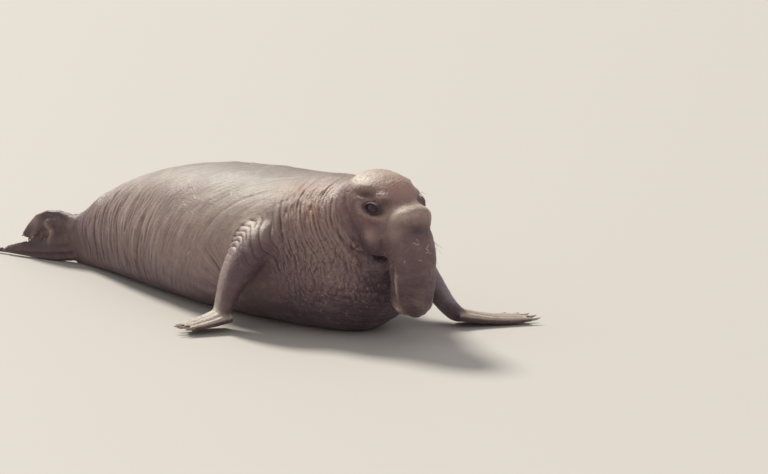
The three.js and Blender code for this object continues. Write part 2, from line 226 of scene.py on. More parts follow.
def normals(mesh):
    out = np.empty(len(mesh.vertices) * 3, np.float32)
    mesh.vertex_normals.foreach_get("vector", out)
    return out.reshape(-1, 3).astype(float)


def part_weights(co, source, net, times):
    """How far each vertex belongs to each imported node, softened over its neighbours."""
    tree = BVHTree.FromPolygons([v.co for v in source.vertices], [p.vertices for p in source.polygons])
    owners = node_of_faces()
    found = np.array([owners[tree.find_nearest(p)[2]] for p in co])
    weights = np.zeros((len(co), len(FLESH)))
    weights[np.arange(len(co)), found] = 1
    return net.relax(weights, times)


def by_name(weights):
    return {name: weights[:, k] for k, name in enumerate(FLESH)}


def refine(mesh, where, weights):
    """Splits the faces in a region in four, and carries the weights over to the new vertices."""
    for k, name in enumerate(FLESH):
        layer = mesh.attributes.new(name, "FLOAT", "POINT")
        layer.data.foreach_set("value", weights[:, k].astype(np.float32))
    bm = bmesh.new()
    bm.from_mesh(mesh)
    edges = [e for e in bm.edges if where[e.verts[0].index] and where[e.verts[1].index]]
    bmesh.ops.subdivide_edges(bm, edges=edges, cuts=1, use_grid_fill=True, smooth=0.0)
    bm.to_mesh(mesh)
    bm.free()
    mesh.update()
    out = np.empty((len(mesh.vertices), len(FLESH)), np.float32)
    for k, name in enumerate(FLESH):
        column = np.empty(len(mesh.vertices), np.float32)
        mesh.attributes[name].data.foreach_get("value", column)
        out[:, k] = column
        mesh.attributes.remove(mesh.attributes[name])
    return out.astype(float)


def soft_parts(net, w):
    """Body regions with soft edges, for colours and for how rough the skin is."""
    groups = {
        "head": ("head", "lower_jaw"),
        "nose": ("proboscis",),
        "neck": ("neck",),
        "chest": ("chest",),
        "arm": ("fore_arm_right", "fore_arm_left"),
        "hand": ("hand_right", "hand_left"),
        "hind": ("hind_flipper_right", "hind_flipper_left", "tail"),
        "rear": ("torso", "rump", "tail_stock"),
    }
    columns = np.stack([sum(w[n] for n in names) for names in groups.values()], 1)
    columns = net.relax(columns, 26)
    return {name: columns[:, k] for k, name in enumerate(groups)}


def shaped_skin():
    """The smooth body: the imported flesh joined, with its facets and joints rubbed out."""
    source = flesh_mesh()
    mesh = remeshed(source.copy(), VOXEL)
    co = positions(mesh)
    net = Net(mesh)
    weights = part_weights(co, source, net, 14)
    w = by_name(weights)
    trunk = w["neck"] + w["chest"] + w["torso"] + w["rump"] + w["tail_stock"]
    digits = w["hand_right"] + w["hand_left"] + w["hind_flipper_right"] + w["hind_flipper_left"]
    arms = w["fore_arm_right"] + w["fore_arm_left"]
    free = trunk + 0.35 * arms + 0.30 * (w["head"] + w["lower_jaw"]) + 0.16 * w["proboscis"]
    p = co - ROOT
    free += 0.6 * near(p, (0.985, -0.10, 0.885), (0.085, 0.08, 0.07))
    free += 0.4 * near(p, (0.98, -0.16, 0.52), (0.04, 0.06, 0.04))
    free = np.clip(free + 0.03 * digits + 0.4 * w["tail"] + claw_reach(co), 0.02, 1)
    free[co[:, 2] < 0.003] = 0
    co = net.relax(co, 130, free)
    place(mesh, co)
    x = co[:, 0] - ROOT[0]
    head = w["head"] + w["lower_jaw"] + w["proboscis"]
    fine = ((head > 0.1) & (x > 0.5)) | (digits + arms > 0.2)
    weights = refine(mesh, fine, weights)
    w = by_name(weights)
    co = positions(mesh)
    net = Net(mesh)
    face = w["head"] + w["lower_jaw"] + w["proboscis"]
    hands = w["hand_right"] + w["hand_left"]
    co = net.relax(co, 6, np.clip(face + 0.4 * hands, 0, 1))
    place(mesh, co)
    return mesh, net, w


# Flippers: root, middle and tip of each digit, from ROOT in metres; hind webs have a digit without a ray
DIGITS = {
    "hand_right": (
        ((0.108, -0.676, 0.084), (0.093, -0.830, 0.057), (0.068, -0.955, 0.048)),
        ((0.076, -0.676, 0.102), (0.050, -0.838, 0.067), (0.020, -0.975, 0.050)),
        ((0.034, -0.668, 0.112), (0.001, -0.821, 0.071), (-0.032, -0.962, 0.048)),
        ((-0.008, -0.656, 0.110), (-0.046, -0.788, 0.068), (-0.076, -0.918, 0.044)),
        ((-0.044, -0.642, 0.092), (-0.083, -0.745, 0.055), (-0.110, -0.848, 0.036)),
    ),
    "hand_left": (
        ((0.895, 0.500, 0.070), (1.013, 0.715, 0.035), (1.110, 0.925, 0.032)),
        ((0.865, 0.520, 0.085), (0.963, 0.740, 0.042), (1.045, 0.950, 0.034)),
        ((0.830, 0.540, 0.080), (0.910, 0.750, 0.041), (0.980, 0.945, 0.034)),
        ((0.795, 0.555, 0.065), (0.863, 0.743, 0.035), (0.920, 0.910, 0.032)),
        ((0.765, 0.565, 0.045), (0.818, 0.718, 0.028), (0.862, 0.850, 0.030)),
    ),
    "hind_flipper_right": (
        ((-2.240, -0.262, 0.060), (-2.570, -0.387, 0.018), (-2.980, -0.525, 0.014)),
        ((-2.235, -0.275, 0.115), (-2.520, -0.375, 0.063), (-2.840, -0.484, 0.046)),
        ((-2.230, -0.282, 0.170), (-2.385, -0.335, 0.145), (-2.510, -0.374, 0.142)),
        ((-2.230, -0.280, 0.250), (-2.435, -0.358, 0.275), (-2.605, -0.420, 0.150)),
        ((-2.235, -0.275, 0.290), (-2.495, -0.353, 0.325), (-2.720, -0.425, 0.148)),
    ),
    "hind_flipper_left": (
        ((-2.240, -0.132, 0.055), (-2.510, -0.157, 0.022), (-2.800, -0.175, 0.016)),
        ((-2.240, -0.138, 0.105), (-2.485, -0.159, 0.057), (-2.720, -0.178, 0.040)),
        ((-2.240, -0.140, 0.150), (-2.390, -0.154, 0.125), (-2.500, -0.165, 0.118)),
        ((-2.240, -0.138, 0.225), (-2.435, -0.158, 0.230), (-2.590, -0.178, 0.140)),
        ((-2.240, -0.134, 0.262), (-2.465, -0.157, 0.278), (-2.650, -0.182, 0.140)),
    ),
}
CLAW = {"hand": (0.050, 0.0092, 0.012), "hind": (0.020, 0.0070, 0.003)}


def claw_line(name, digit):
    """Root, direction, length, radius and rise of the claw at the end of a digit."""
    _, middle, tip = (np.array(v) + ROOT for v in digit)
    length, radius, rise = CLAW[name[:4]]
    return tip, unit(tip - middle), length, radius, rise


def to_segment(points, start, end):
    """Distance from points to a segment."""
    along = end - start
    t = np.clip((points - start) @ along / (along @ along), 0, 1)
    return np.linalg.norm(points - start - t[:, None] * along, axis=1)


def claw_reach(co):
    """1 where the solid's plain claws stand, which the separate claws take the place of."""
    reach = np.zeros(len(co))
    for name, digits in DIGITS.items():
        for digit in digits:
            tip, ahead, length, _, _ = claw_line(name, digit)
            d = to_segment(co, tip + 0.25 * length * ahead, tip + 1.1 * length * ahead)
            reach = np.maximum(reach, 1 - step(0.012, 0.022, d))
    return reach


def ray_height(p, digits):
    """1 along the digits and 0 along the middle of the webs between them."""
    rays = []
    for digit in digits:
        root, middle, tip = (np.array(v) for v in digit)
        rays.append(np.minimum(to_segment(p, root, middle), to_segment(p, middle, tip)))
    nearest = np.sort(np.stack(rays, 1), axis=1)
    share = nearest[:, 0] / np.maximum(nearest[:, 0] + nearest[:, 1], 1e-6)
    return np.cos(np.pi * np.clip(share, 0, 0.5))


# Places on the animal, from ROOT in metres, right side; near() mirrors them
EYE = np.array([0.914, -0.188, 0.836])
LIP_FLAP = (1.058, -0.122, 0.212)
LIP_EDGE = (1.072, -0.138, 0.380)
EYE_STRETCH = 1.24
LID_HALF = (0.053, 0.031)
DARK_LID_HALF = (0.078, 0.042)


def eye_frame(side):
    """Centre of the eyeball and the directions out, up and forward at an eye."""
    low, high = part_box("eye_right" if side < 0 else "eye_left")
    centre = (np.array(low) + np.array(high)) / 2
    out = unit([0.17, side * 0.97, 0.17])
    up = unit(np.array([0.12, 0, 1]) - out * np.dot([0.12, 0, 1], out))
    fore = np.cross(up, out) * -side
    if fore[0] < 0:
        fore = -fore
    return centre, out, up, fore


def lid_shape(a):
    """Half height of the opening between the lids at a place along it."""
    return LID_HALF[1] * np.clip(1 - (a / LID_HALF[0]) ** 2, 0, 1) ** 0.8


def carve_eyes(co):
    """Brings the skin up round each eyeball as lids, and sinks it behind the ball inside the opening."""
    for side in (-1, 1):
        centre, out, up, fore = eye_frame(side)
        d = co - centre
        a, b, c = d @ fore, d @ up, d @ out
        reach = np.hypot(a / EYE_STRETCH, b)
        touched = (reach < 0.12) & (c > -0.06) & (c < 0.12)
        inside = np.abs(b) < lid_shape(a)
        inside &= np.abs(a) < LID_HALF[0]
        ball = np.sqrt(np.maximum(EYE_RADIUS**2 - np.minimum(reach, EYE_RADIUS * 0.98) ** 2, 0))
        cover = np.sqrt(np.maximum((EYE_RADIUS + 0.009) ** 2 - np.minimum(reach, EYE_RADIUS) ** 2, 0))
        edge = np.hypot(a / LID_HALF[0], b / LID_HALF[1])
        lid = cover * np.exp(-(np.maximum(edge - 1, 0) ** 2) * 3.2)
        lift = np.maximum(lid - c, 0) * (1 - step(1.2, 1.9, edge))
        target = np.where(inside, ball - 0.012, c + lift)
        co = co + np.where(touched, target - c, 0)[:, None] * out
    return co


# Swellings and hollows of the head: height, middle and reach, from ROOT in metres, right side
HEAD_FORMS = (
    # Bump of the brow whiskers, hollow in front of the eye, furrow over the brow, and the swelling over it
    (0.020, (0.925, -0.13, 0.903), (0.045, 0.045, 0.024)),
    (-0.014, (0.972, -0.135, 0.862), (0.036, 0.045, 0.030)),
    (-0.020, (0.83, -0.19, 0.912), (0.055, 0.06, 0.016)),
    (0.014, (0.80, -0.17, 0.955), (0.070, 0.08, 0.024)),
    # Cheek, the furrow under the eye, and the corner of the mouth
    (0.006, (0.895, -0.207, 0.66), (0.06, 0.08, 0.055)),
    (-0.010, (0.93, -0.19, 0.755), (0.055, 0.06, 0.020)),
    (-0.012, (0.965, -0.15, 0.56), (0.018, 0.09, 0.09)),
    # Lump at the top of the proboscis, the dip beside it, and the crease under it
    (0.024, (1.080, -0.01, 0.805), (0.075, 0.14, 0.052)),
    (-0.010, (1.000, -0.145, 0.810), (0.026, 0.035, 0.055)),
    (-0.013, (1.150, -0.01, 0.722), (0.06, 0.075, 0.020)),
)


def neck_groove(z):
    """How far forward the groove between head and neck lies at each height."""
    return np.interp(z, [0.25, 0.309, 0.492, 0.718, 0.917], [0.885, 0.87, 0.829, 0.767, 0.66])


def head_relief(p, part):
    """Height of the folds and swellings of the head and proboscis."""
    x, y, z = p.T
    side = np.abs(y)
    high = np.zeros(len(p))
    head, nose = part["head"], part["nose"]
    for height, centre, reach in HEAD_FORMS:
        high += height * near(p, centre, reach)
    bump = near(p, *HEAD_FORMS[0][1:])
    high -= local(bump, p, lambda q: 0.006 * (1 - cracks(q * 60, 2, 19)))
    # Creases that ring the eye
    ring = np.hypot(x - EYE[0], (z - EYE[2]) * 1.25)
    around = step(0.058, 0.072, ring) * (1 - step(0.080, 0.105, ring)) * step(0.12, 0.15, side)
    angle = np.arctan2(z - EYE[2], x - EYE[0])
    circle = around * head
    on = circle > MASK_EDGE
    high -= local(circle, p, lambda q: 0.004 * creases(ring[on], angle[on] * 0.1, q[:, 1], 0.022, 0.08, 3))
    # Forehead and crown: slack skin in fine nets
    high -= local(head, p, lambda q: 0.0032 * (1 - cracks(q * [30, 30, 38], 2, 9)))
    # Groove where the head meets the neck, and the wrinkles beside it on the cheek and jaw
    groove = neck_groove(z)
    beside = np.exp(-(((x - groove) / 0.022) ** 2)) * step(0.22, 0.3, z) * (1 - step(0.86, 0.93, z))
    high -= 0.012 * beside * (head + part["neck"])
    behind = head * (1 - step(0.0, 0.13, x - groove)) * (1 - step(0.62, 0.8, z))
    high -= local(behind, p, lambda q: 0.010 * creases(
        q[:, 0] + 0.3 * q[:, 2] + 0.02 * noise(q * 6, 4), q[:, 2], q[:, 1], 0.040, 0.25, 6))
    # Lower jaw: hanging folds round the throat
    chin = head * (1 - step(0.42, 0.52, z))
    high -= local(chin, p, lambda q: 0.011 * creases(
        q[:, 2] - 0.35 * q[:, 0] + 0.02 * noise(q * 7, 5), q[:, 0], q[:, 1], 0.038, 0.22, 7))
    # Proboscis: broken cross folds that deepen toward its end, lengthwise slack at its back, fine net
    down = z + 0.30 * (x - 1.0)
    low_down = 1 - step(0.30, 0.62, z)
    high -= local(nose, p, lambda q: 0.009 * creases(
        q[:, 2] + 0.30 * q[:, 0] + 0.04 * noise(q * 4, 8), q[:, 0], q[:, 1], 0.064, 0.17, 10)
        * (0.15 + 0.85 * (1 - step(0.26, 0.55, q[:, 2]))))
    back = nose * (1 - step(0.93, 1.02, x)) * (1 - step(0.55, 0.7, z))
    high -= local(back, p, lambda q: 0.010 * creases(
        q[:, 1] + 0.6 * q[:, 0], q[:, 2], q[:, 0], 0.034, 0.18, 12))
    high -= local(nose, p, lambda q: 0.0035 * (1 - cracks(q * [26, 26, 30], 3, 14)))
    high += 0.004 * nose * low_down * fractal(np.stack([x, y, down], 1) * 9, 2, 15)
    # Crumpled flap of lip behind the end of the proboscis
    end = near(p, (0.930, -0.04, 0.215), (0.045, 0.09, 0.075))
    flap = np.maximum(near(p, LIP_FLAP, (0.040, 0.07, 0.065)), end)
    high -= local(flap, p, lambda q: 0.018 * (1 - cracks(q * [34, 30, 24], 2, 16)) - 0.006)
    # Wet edge of the upper lip down the side of the proboscis
    high += 0.009 * near(p, LIP_EDGE, (0.014, 0.05, 0.085))
    high -= 0.008 * near(p, np.add(LIP_EDGE, (-0.028, 0, 0)), (0.014, 0.05, 0.085))
    return high


def trunk_relief(p, part):
    """Height of the folds of the trunk."""
    x, _, z = p.T
    high = np.zeros(len(p))
    rear, chest, neck = part["rear"], part["chest"], part["neck"]
    # Rolls that ring the flank, strongest by the tail and fading forward
    strength = np.interp(x, [-2.25, -2.0, -1.3, -0.95, -0.5, -0.1], [0.25, 1, 0.85, 0.45, 0.2, 0])
    strength = strength * step(0.03, 0.16, z) * (1 - step(0.50, 0.80, z)) * rear

    def rolls(q):
        lean = np.interp(q[:, 0], [-2.1, -1.5, -1.0, -0.4], [-0.10, 0.10, 0.40, 0.60])
        s = q[:, 0] - lean * (q[:, 2] - 0.3) + 0.03 * noise(q * 2.6, 11)
        wide = creases(s, q[:, 2], q[:, 1], 0.125, 0.75, 12, 1)
        thin = creases(s, q[:, 2], q[:, 1], 0.056, 0.40, 13, 2)
        return 0.015 * wide + 0.017 * thin

    high -= local(strength, p, rolls)
    # Slack dents and long shallow waves of the back, and streaks that run along it
    high += 0.012 * (rear + chest) * fractal(p * [2.0, 3, 3], 2, 14)
    streak = (rear + chest) * step(0.45, 0.7, z)
    high -= local(streak, p, lambda q: 0.0065 * creases(
        np.abs(q[:, 1]) + 0.55 * q[:, 0], q[:, 0], q[:, 2], 0.13, 0.55, 17))
    high += 0.0022 * (rear + chest) * fractal(p * [16, 12, 12], 2, 15)
    # Folds of the neck, which run with the back of the head
    front = np.clip(neck + chest * step(0.12, 0.34, x), 0, 1)
    sheet = x + np.interp(z, [0.2, 0.5, 1.0], [-0.07, 0.0, 0.34])
    upper = front * step(0.30, 0.46, z) * (1 - step(0.86, 0.98, z))

    def pleats(q, s):
        s = s + 0.022 * noise(q * 4.5, 21)
        return 0.016 * creases(s, q[:, 2], q[:, 1], 0.054, 0.38, 22) + 0.009 * creases(
            s, q[:, 2], q[:, 1], 0.027, 0.16, 24)

    on = upper > MASK_EDGE
    high -= local(upper, p, lambda q: pleats(q, sheet[on]))
    # Scarred, calloused shield of the chest
    shield = front * step(0.14, 0.30, z) * (1 - step(0.56, 0.74, z)) * step(0.22, 0.45, x)

    def knobs(q):
        warp = 0.014 * np.stack([noise(q * 9, s0) for s0 in (23, 24, 25)], 1)
        return 0.014 * (1 - cracks((q + warp) * [19, 19, 13], 3, 26))

    high -= local(shield, p, knobs)
    # Slack folds that hang across the breast under the jaw
    breast = front * (1 - step(0.24, 0.40, z)) * step(0.3, 0.55, x)
    high -= local(breast, p, lambda q: 0.009 * creases(
        q[:, 2] + 0.25 * q[:, 0] + 0.02 * noise(q * 5, 28), q[:, 0], q[:, 1], 0.055, 0.40, 29))
    # Drapery in front of the shoulder
    drape = np.clip(1.3 * near(p, (0.28, 0.53, 0.56), (0.11, 0.2, 0.13)), 0, 1) * step(0.12, 0.20, x)

    def hang(q):
        fan = np.interp(q[:, 0], [0.15, 0.45], [0.72, 0.34])
        uneven = np.clip(0.7 + 1.8 * noise(q * 5, 30), 0.1, 1.3)
        phase = (q[:, 0] + fan * (q[:, 2] - 0.55)) / 0.054 + 0.55 * noise(q * [4, 4, 2], 31)
        return 0.016 * uneven * (1 - fold(phase, 0.6))

    high -= local(drape, p, hang)
    # Folds that fan out of the armpit to the rear, and the ridge of slack skin under them
    pit = near(p, (-0.23, 0.56, 0.33), (0.15, 0.2, 0.16)) * (1 - part["arm"])

    def rays(q):
        turn = np.arctan2(q[:, 2] - 0.16, -0.02 - q[:, 0]) * 0.3
        return 0.019 * creases(turn, np.hypot(q[:, 0], q[:, 2] - 0.2), q[:, 1], 0.085, 0.5, 34)

    high -= local(pit, p, rays)
    high += 0.016 * near(p, (-0.62, 0.45, 0.10), (0.35, 0.2, 0.05))
    high += 0.018 * np.exp(-(((z - 0.155 + 0.10 * (x + 0.25)) / 0.035) ** 2)) * near(
        p, (-0.35, 0.5, 0.16), (0.22, 0.25, 0.2))
    return high


# Fore limbs: root and wrist, from ROOT in metres
ARMS = {
    "right": ((0.118, -0.42, 0.60), (0.026, -0.676, 0.15)),
    "left": ((0.29, 0.365, 0.54), (0.75, 0.506, 0.138)),
}
SHOULDER = np.array([-0.05, 0.135, 0.026])


def limb_place(p, root, wrist):
    """How far each point lies along a limb from its root, and how far to its front."""
    along = unit(np.subtract(wrist, root))
    fore = unit(np.array([1.0, 0, 0]) - along * along[0])
    return (p - root) @ along, (p - root) @ fore


def limb_relief(p, w, part):
    """Height of the folds stacked over each shoulder, and of the digits and webs."""
    high = np.zeros(len(p))
    for side, (root, wrist) in ARMS.items():
        t, q = limb_place(p, root, wrist)
        arm = w[f"fore_arm_{side}"]
        top = np.exp(-np.sum(((p - root - SHOULDER * [1, np.sign(root[1]), 1]) / 0.15) ** 2, axis=1))
        edge = arm * step(-0.02, 0.05, t) * (1 - step(0.12, 0.32, t)) * (1 - step(-0.05, 0.05, q))
        limb = step(0.10, 0.60, part["arm"] + 0.25 * step(-0.10, 0.0, q))
        uneven = np.clip(0.75 + 1.6 * noise(p * 5.5, 45), 0.15, 1.3)
        mask = np.clip(1.4 * top + 0.6 * edge, 0, 1) * (1 - step(0.04, 0.13, q)) * limb * uneven
        soft = np.hypot(q, 0.035)
        arch = t - 0.42 * (soft + q) - 0.14 * (soft - q) + 0.012 * noise(p * 10, 46)
        on = mask > MASK_EDGE
        high -= local(mask, p, lambda r: 0.015 * (1 - fold(arch[on] / 0.041 + 1.3 * noise(r * 5, 41), 0.55)))
        high -= local(mask, p, lambda r: 0.004 * creases(arch[on], q[on], r[:, 1], 0.024, 0.12, 47))
        high -= local(arm, p, lambda r: 0.0030 * (1 - cracks(r * [22, 22, 30], 3, 43)))
    for name, digits in DIGITS.items():
        hand = name.startswith("hand")
        depth = 0.0065 if hand else 0.009
        high += local(w[name], p, lambda r: depth * (ray_height(r, digits) - 0.72))
        high -= local(w[name], p, lambda r: 0.0022 * (1 - cracks(r * 34, 2, 44)))
    # The rolled hind web: a hollow and the edge beside it
    high -= 0.022 * near(p, (-2.52, -0.40, 0.20), (0.045, 0.06, 0.055), False)
    high += 0.012 * near(p, (-2.466, -0.378, 0.20), (0.018, 0.06, 0.07), False)
    return high


# Scratches and scars: middle of the patch, its reach, how many, and their half length, in metres
SCARS = (
    ((1.185, -0.02, 0.60), 0.080, 8, 0.016),
    ((1.10, -0.10, 0.45), 0.10, 3, 0.010),
    ((0.05, -0.48, 0.74), 0.16, 4, 0.024),
    ((-0.60, -0.42, 0.66), 0.34, 7, 0.026),
    ((-1.25, -0.34, 0.52), 0.30, 5, 0.022),
    ((-0.70, 0.42, 0.66), 0.50, 9, 0.026),
    ((0.55, 0.30, 0.62), 0.22, 6, 0.018),
)
SCAR_WIDTH = 0.0052


def scar_mask(p, normal):
    """1 along short scratches scattered over the patches."""
    rng = np.random.default_rng(SEED + 1)
    mask = np.zeros(len(p))
    for centre, reach, count, half in SCARS:
        patch = np.flatnonzero(np.linalg.norm(p - np.array(centre), axis=1) < reach)
        for _ in range(count):
            i = patch[rng.integers(len(patch))]
            lie = unit(np.cross(normal[i], rng.normal(size=3) + [0, 0, 1.2]))
            length = half * rng.uniform(0.5, 1.4)
            close = patch[np.linalg.norm(p[patch] - p[i], axis=1) < length + 0.02]
            d = to_segment(p[close], p[i] - length * lie, p[i] + length * lie)
            ends = 1 - 0.7 * np.linalg.norm(p[close] - p[i], axis=1) / length
            line = (1 - step(0.2, 1.0, d / SCAR_WIDTH)) * np.clip(ends, 0.15, 1)
            mask[close] = np.maximum(mask[close], line)
    return mask


# Colours


def rgb(r, g, b):
    """An sRGB colour of 0 to 255 as Blender's linear one."""
    return tuple((c / 255) ** 2.2 for c in (r, g, b)) + (1.0,)


# Coat colours, from the back to the painted shade under the throat, with painted highlights and painted
# shade among them
BACK = rgb(138, 126, 111)
HIDE = rgb(150, 130, 119)
FLANK_SHADE = rgb(146, 121, 114)
BELLY_SHADE = rgb(98, 74, 76)
NECK = rgb(148, 122, 113)
NECK_RED = rgb(152, 104, 76)
CHEST_SHADE = rgb(124, 98, 98)
THROAT_SHADE = rgb(84, 64, 76)
FACE = rgb(116, 86, 84)
CROWN_HIGHLIGHT = rgb(192, 172, 150)
FOREHEAD = rgb(186, 146, 130)
CHEEK = rgb(166, 140, 128)
NOSE = rgb(108, 84, 88)
NOSE_DARK = rgb(78, 57, 65)
LUMP = rgb(222, 198, 176)
LIP = rgb(204, 176, 164)
ARM = rgb(112, 88, 88)
HAND_LIT = rgb(196, 182, 164)
PALM_SHADE = rgb(84, 62, 70)
STOCK_SHADE = rgb(98, 75, 76)
LOBE = rgb(136, 104, 96)
RIDGE = rgb(122, 111, 96)
ARM_REAR_LIT = rgb(158, 138, 130)
ARM_LEFT = rgb(132, 124, 132)
PAINTED_HIGHLIGHT = rgb(236, 222, 200)
BROW_SHADE = rgb(92, 64, 62)
HIND_SHADE = rgb(76, 56, 62)
WEB_RIM_LIT = rgb(180, 156, 142)
LID_DARK = rgb(58, 40, 44)
SPECKLE_AND_SHADE = rgb(60, 44, 50)
CREST = rgb(188, 162, 146)
SPECK = rgb(196, 164, 150)
SCAR = rgb(214, 198, 184)

# Share of red, green and blue that the skin near the ground loses to painted shade
LOW_SHADE_LOSS = np.array([0.40, 0.42, 0.28])


def blend(base, share, colour):
    share = np.clip(share, 0, 1)[:, None]
    return base * (1 - share) + np.array(colour[:3]) * share


def body_colour(p, part, wander):
    """Colour of the trunk and arms, with painted shade low down, on the front of the right arm and before
    the shoulders, and painted light on the arms' rear edges and the shoulders.
    """
    x, y, z = p.T
    side = np.abs(y)
    colour = np.tile(np.array(HIDE[:3]), (len(p), 1))
    colour = blend(colour, step(0.55, 0.88, z + wander), BACK)
    # Painted shade: the flank and the belly darken towards the ground
    colour = blend(colour, 1 - step(0.25, 0.62, z + wander), FLANK_SHADE)
    colour = blend(colour, 1 - step(0.05, 0.36, z + wander), BELLY_SHADE)
    front = step(0.05, 0.42, x + wander * 2)
    colour = blend(colour, front * (part["neck"] + part["chest"]), NECK)
    red = near(p, (0.42, 0.30, 0.86), (0.34, 0.26, 0.15)) * (0.75 + 1.2 * noise(p * 9, 53))
    colour = blend(colour, red * (1 - part["head"]), NECK_RED)
    # Painted shade on the low front of the neck and chest, deepest under the throat
    low = 1 - step(0.38, 0.74, z + wander + 0.25 * (0.35 - side))
    colour = blend(colour, front * low * (1 - part["head"] - part["nose"] - part["hand"]), CHEST_SHADE)
    deep = 1 - step(0.18, 0.42, z + wander + 0.10 * (0.4 - x))
    colour = blend(colour, front * deep * (1 - part["nose"] - part["hand"]), THROAT_SHADE)
    # Painted shade: the skin dims towards the ground
    wet_and_low_shade = 1 - step(0.06, 0.46, z + wander)
    colour = colour * (1 - wet_and_low_shade[:, None] * LOW_SHADE_LOSS)
    colour = blend(colour, step(0.84, 0.98, z + wander) * (1 - part["head"]) * (1 - red), RIDGE)
    colour = blend(colour, part["arm"], ARM)
    for side_out, (root, wrist) in zip((-1, 1), ARMS.values()):
        _, q = limb_place(p, root, wrist)
        limb = part["arm"] * (side_out * y > 0)
        # Painted light along the rear edge of each arm, and painted shade on the front of the right arm
        # below the shoulder
        colour = blend(colour, 0.75 * limb * (1 - step(0.0, 0.07, q)), ARM_REAR_LIT)
        colour = blend(colour, 0.6 * limb * (y > 0), ARM_LEFT)
        inner = limb * step(0.02, 0.10, q) * (1 - step(0.46, 0.62, z))
        colour = blend(colour, 0.85 * inner * (y < 0), THROAT_SHADE)
    # Painted highlight on the top of the shoulders, broken up by noise
    crest = np.clip(0.8 + 1.2 * noise(p * 14, 57), 0, 1)
    colour = blend(colour, 0.9 * crest * near(p, (0.12, -0.545, 0.655), (0.13, 0.09, 0.065)), PAINTED_HIGHLIGHT)
    # Painted shade on the folds in front of the shoulders
    colour = blend(colour, 0.8 * near(p, (0.32, 0.50, 0.42), (0.16, 0.2, 0.16)) * (1 - part["arm"]), THROAT_SHADE)
    return colour


def head_colour(colour, p, part, wander):
    """Adds the colours of the head, the proboscis and the groove behind them, with painted highlights on the
    crown, cheek, lump and lip edge and painted shade in the hollows, the grooves and low on the head.
    """
    x, _, z = p.T
    colour = blend(colour, part["head"], FACE)
    # Painted highlights over the crown, with a brighter patch on its top
    colour = blend(colour, 0.9 * near(p, (0.74, 0.0, 1.01), (0.20, 0.22, 0.12)), CROWN_HIGHLIGHT)
    colour = blend(colour, 0.85 * near(p, (0.96, 0.0, 0.95), (0.10, 0.13, 0.08)), FOREHEAD)
    highlight_breakup = np.clip(0.9 + 1.5 * noise(p * 16, 58), 0, 1)
    colour = blend(colour, 0.9 * highlight_breakup * near(p, (0.74, -0.12, 0.985), (0.075, 0.07, 0.035)), PAINTED_HIGHLIGHT)
    # Painted shade in the furrow over the brow
    colour = blend(colour, 0.8 * near(p, (0.83, -0.185, 0.915), (0.065, 0.06, 0.024)), BROW_SHADE)
    colour = blend(colour, 0.8 * near(p, (0.935, -0.13, 0.908), (0.035, 0.045, 0.020)), LIP)
    # Painted shade in the hollow in front of the eye
    colour = blend(colour, 0.7 * near(p, (0.965, -0.135, 0.868), (0.028, 0.05, 0.026)), BROW_SHADE)
    # Painted highlight on the cheek
    colour = blend(colour, 0.85 * near(p, (0.900, -0.21, 0.665), (0.045, 0.1, 0.055)) * part["head"], CHEEK)
    colour = blend(colour, 0.5 * near(p, (0.93, -0.19, 0.785), (0.07, 0.08, 0.035)) * part["head"], CHEEK)
    # Painted shade on the lower head and by the groove behind the cheek
    colour = blend(colour, part["head"] * (1 - step(0.54, 0.67, z + wander)), THROAT_SHADE)
    colour = blend(colour, 0.6 * near(p, (0.85, -0.19, 0.60), (0.08, 0.1, 0.09)), THROAT_SHADE)
    colour = blend(colour, part["nose"], NOSE)
    colour = blend(colour, part["nose"] * (1 - step(0.28, 0.62, z + wander)), NOSE_DARK)
    mottle = np.clip(0.85 + 0.6 * noise(p * 34, 54) + 0.6 * noise(p * 9, 55), 0.1, 1)
    colour = blend(colour, mottle * near(p, (1.080, -0.07, 0.825), (0.085, 0.11, 0.055)), LUMP)
    # Painted highlight on the rim of the lump
    colour = blend(colour, 0.9 * near(p, (1.034, -0.115, 0.808), (0.030, 0.045, 0.045)), PAINTED_HIGHLIGHT)
    colour = blend(colour, 0.85 * near(p, (1.05, -0.12, 0.70), (0.05, 0.07, 0.05)), CHEEK)
    patches = np.clip(2.4 * noise(p * [9, 9, 14], 56), 0, 1) * (1 - step(0.5, 0.72, z))
    colour = blend(colour, 0.35 * patches * part["nose"], CHEEK)
    # Painted shade in the crease under the lump
    colour = blend(colour, 0.85 * near(p, (1.155, -0.01, 0.718), (0.07, 0.075, 0.022)), NOSE_DARK)
    colour = blend(colour, 0.9 * near(p, LIP_FLAP, (0.036, 0.06, 0.050)), LIP)
    # Pale lip edge with a painted highlight along it
    colour = blend(colour, 0.8 * near(p, LIP_EDGE, (0.010, 0.05, 0.075)), LIP)
    # Painted shade in the groove between the head and the neck
    groove = neck_groove(z)
    dark = np.exp(-(((x - groove - 0.02) / 0.06) ** 2)) * (1 - step(0.60, 0.88, z)) * (1 - part["nose"])
    return blend(colour, 0.95 * dark, THROAT_SHADE)


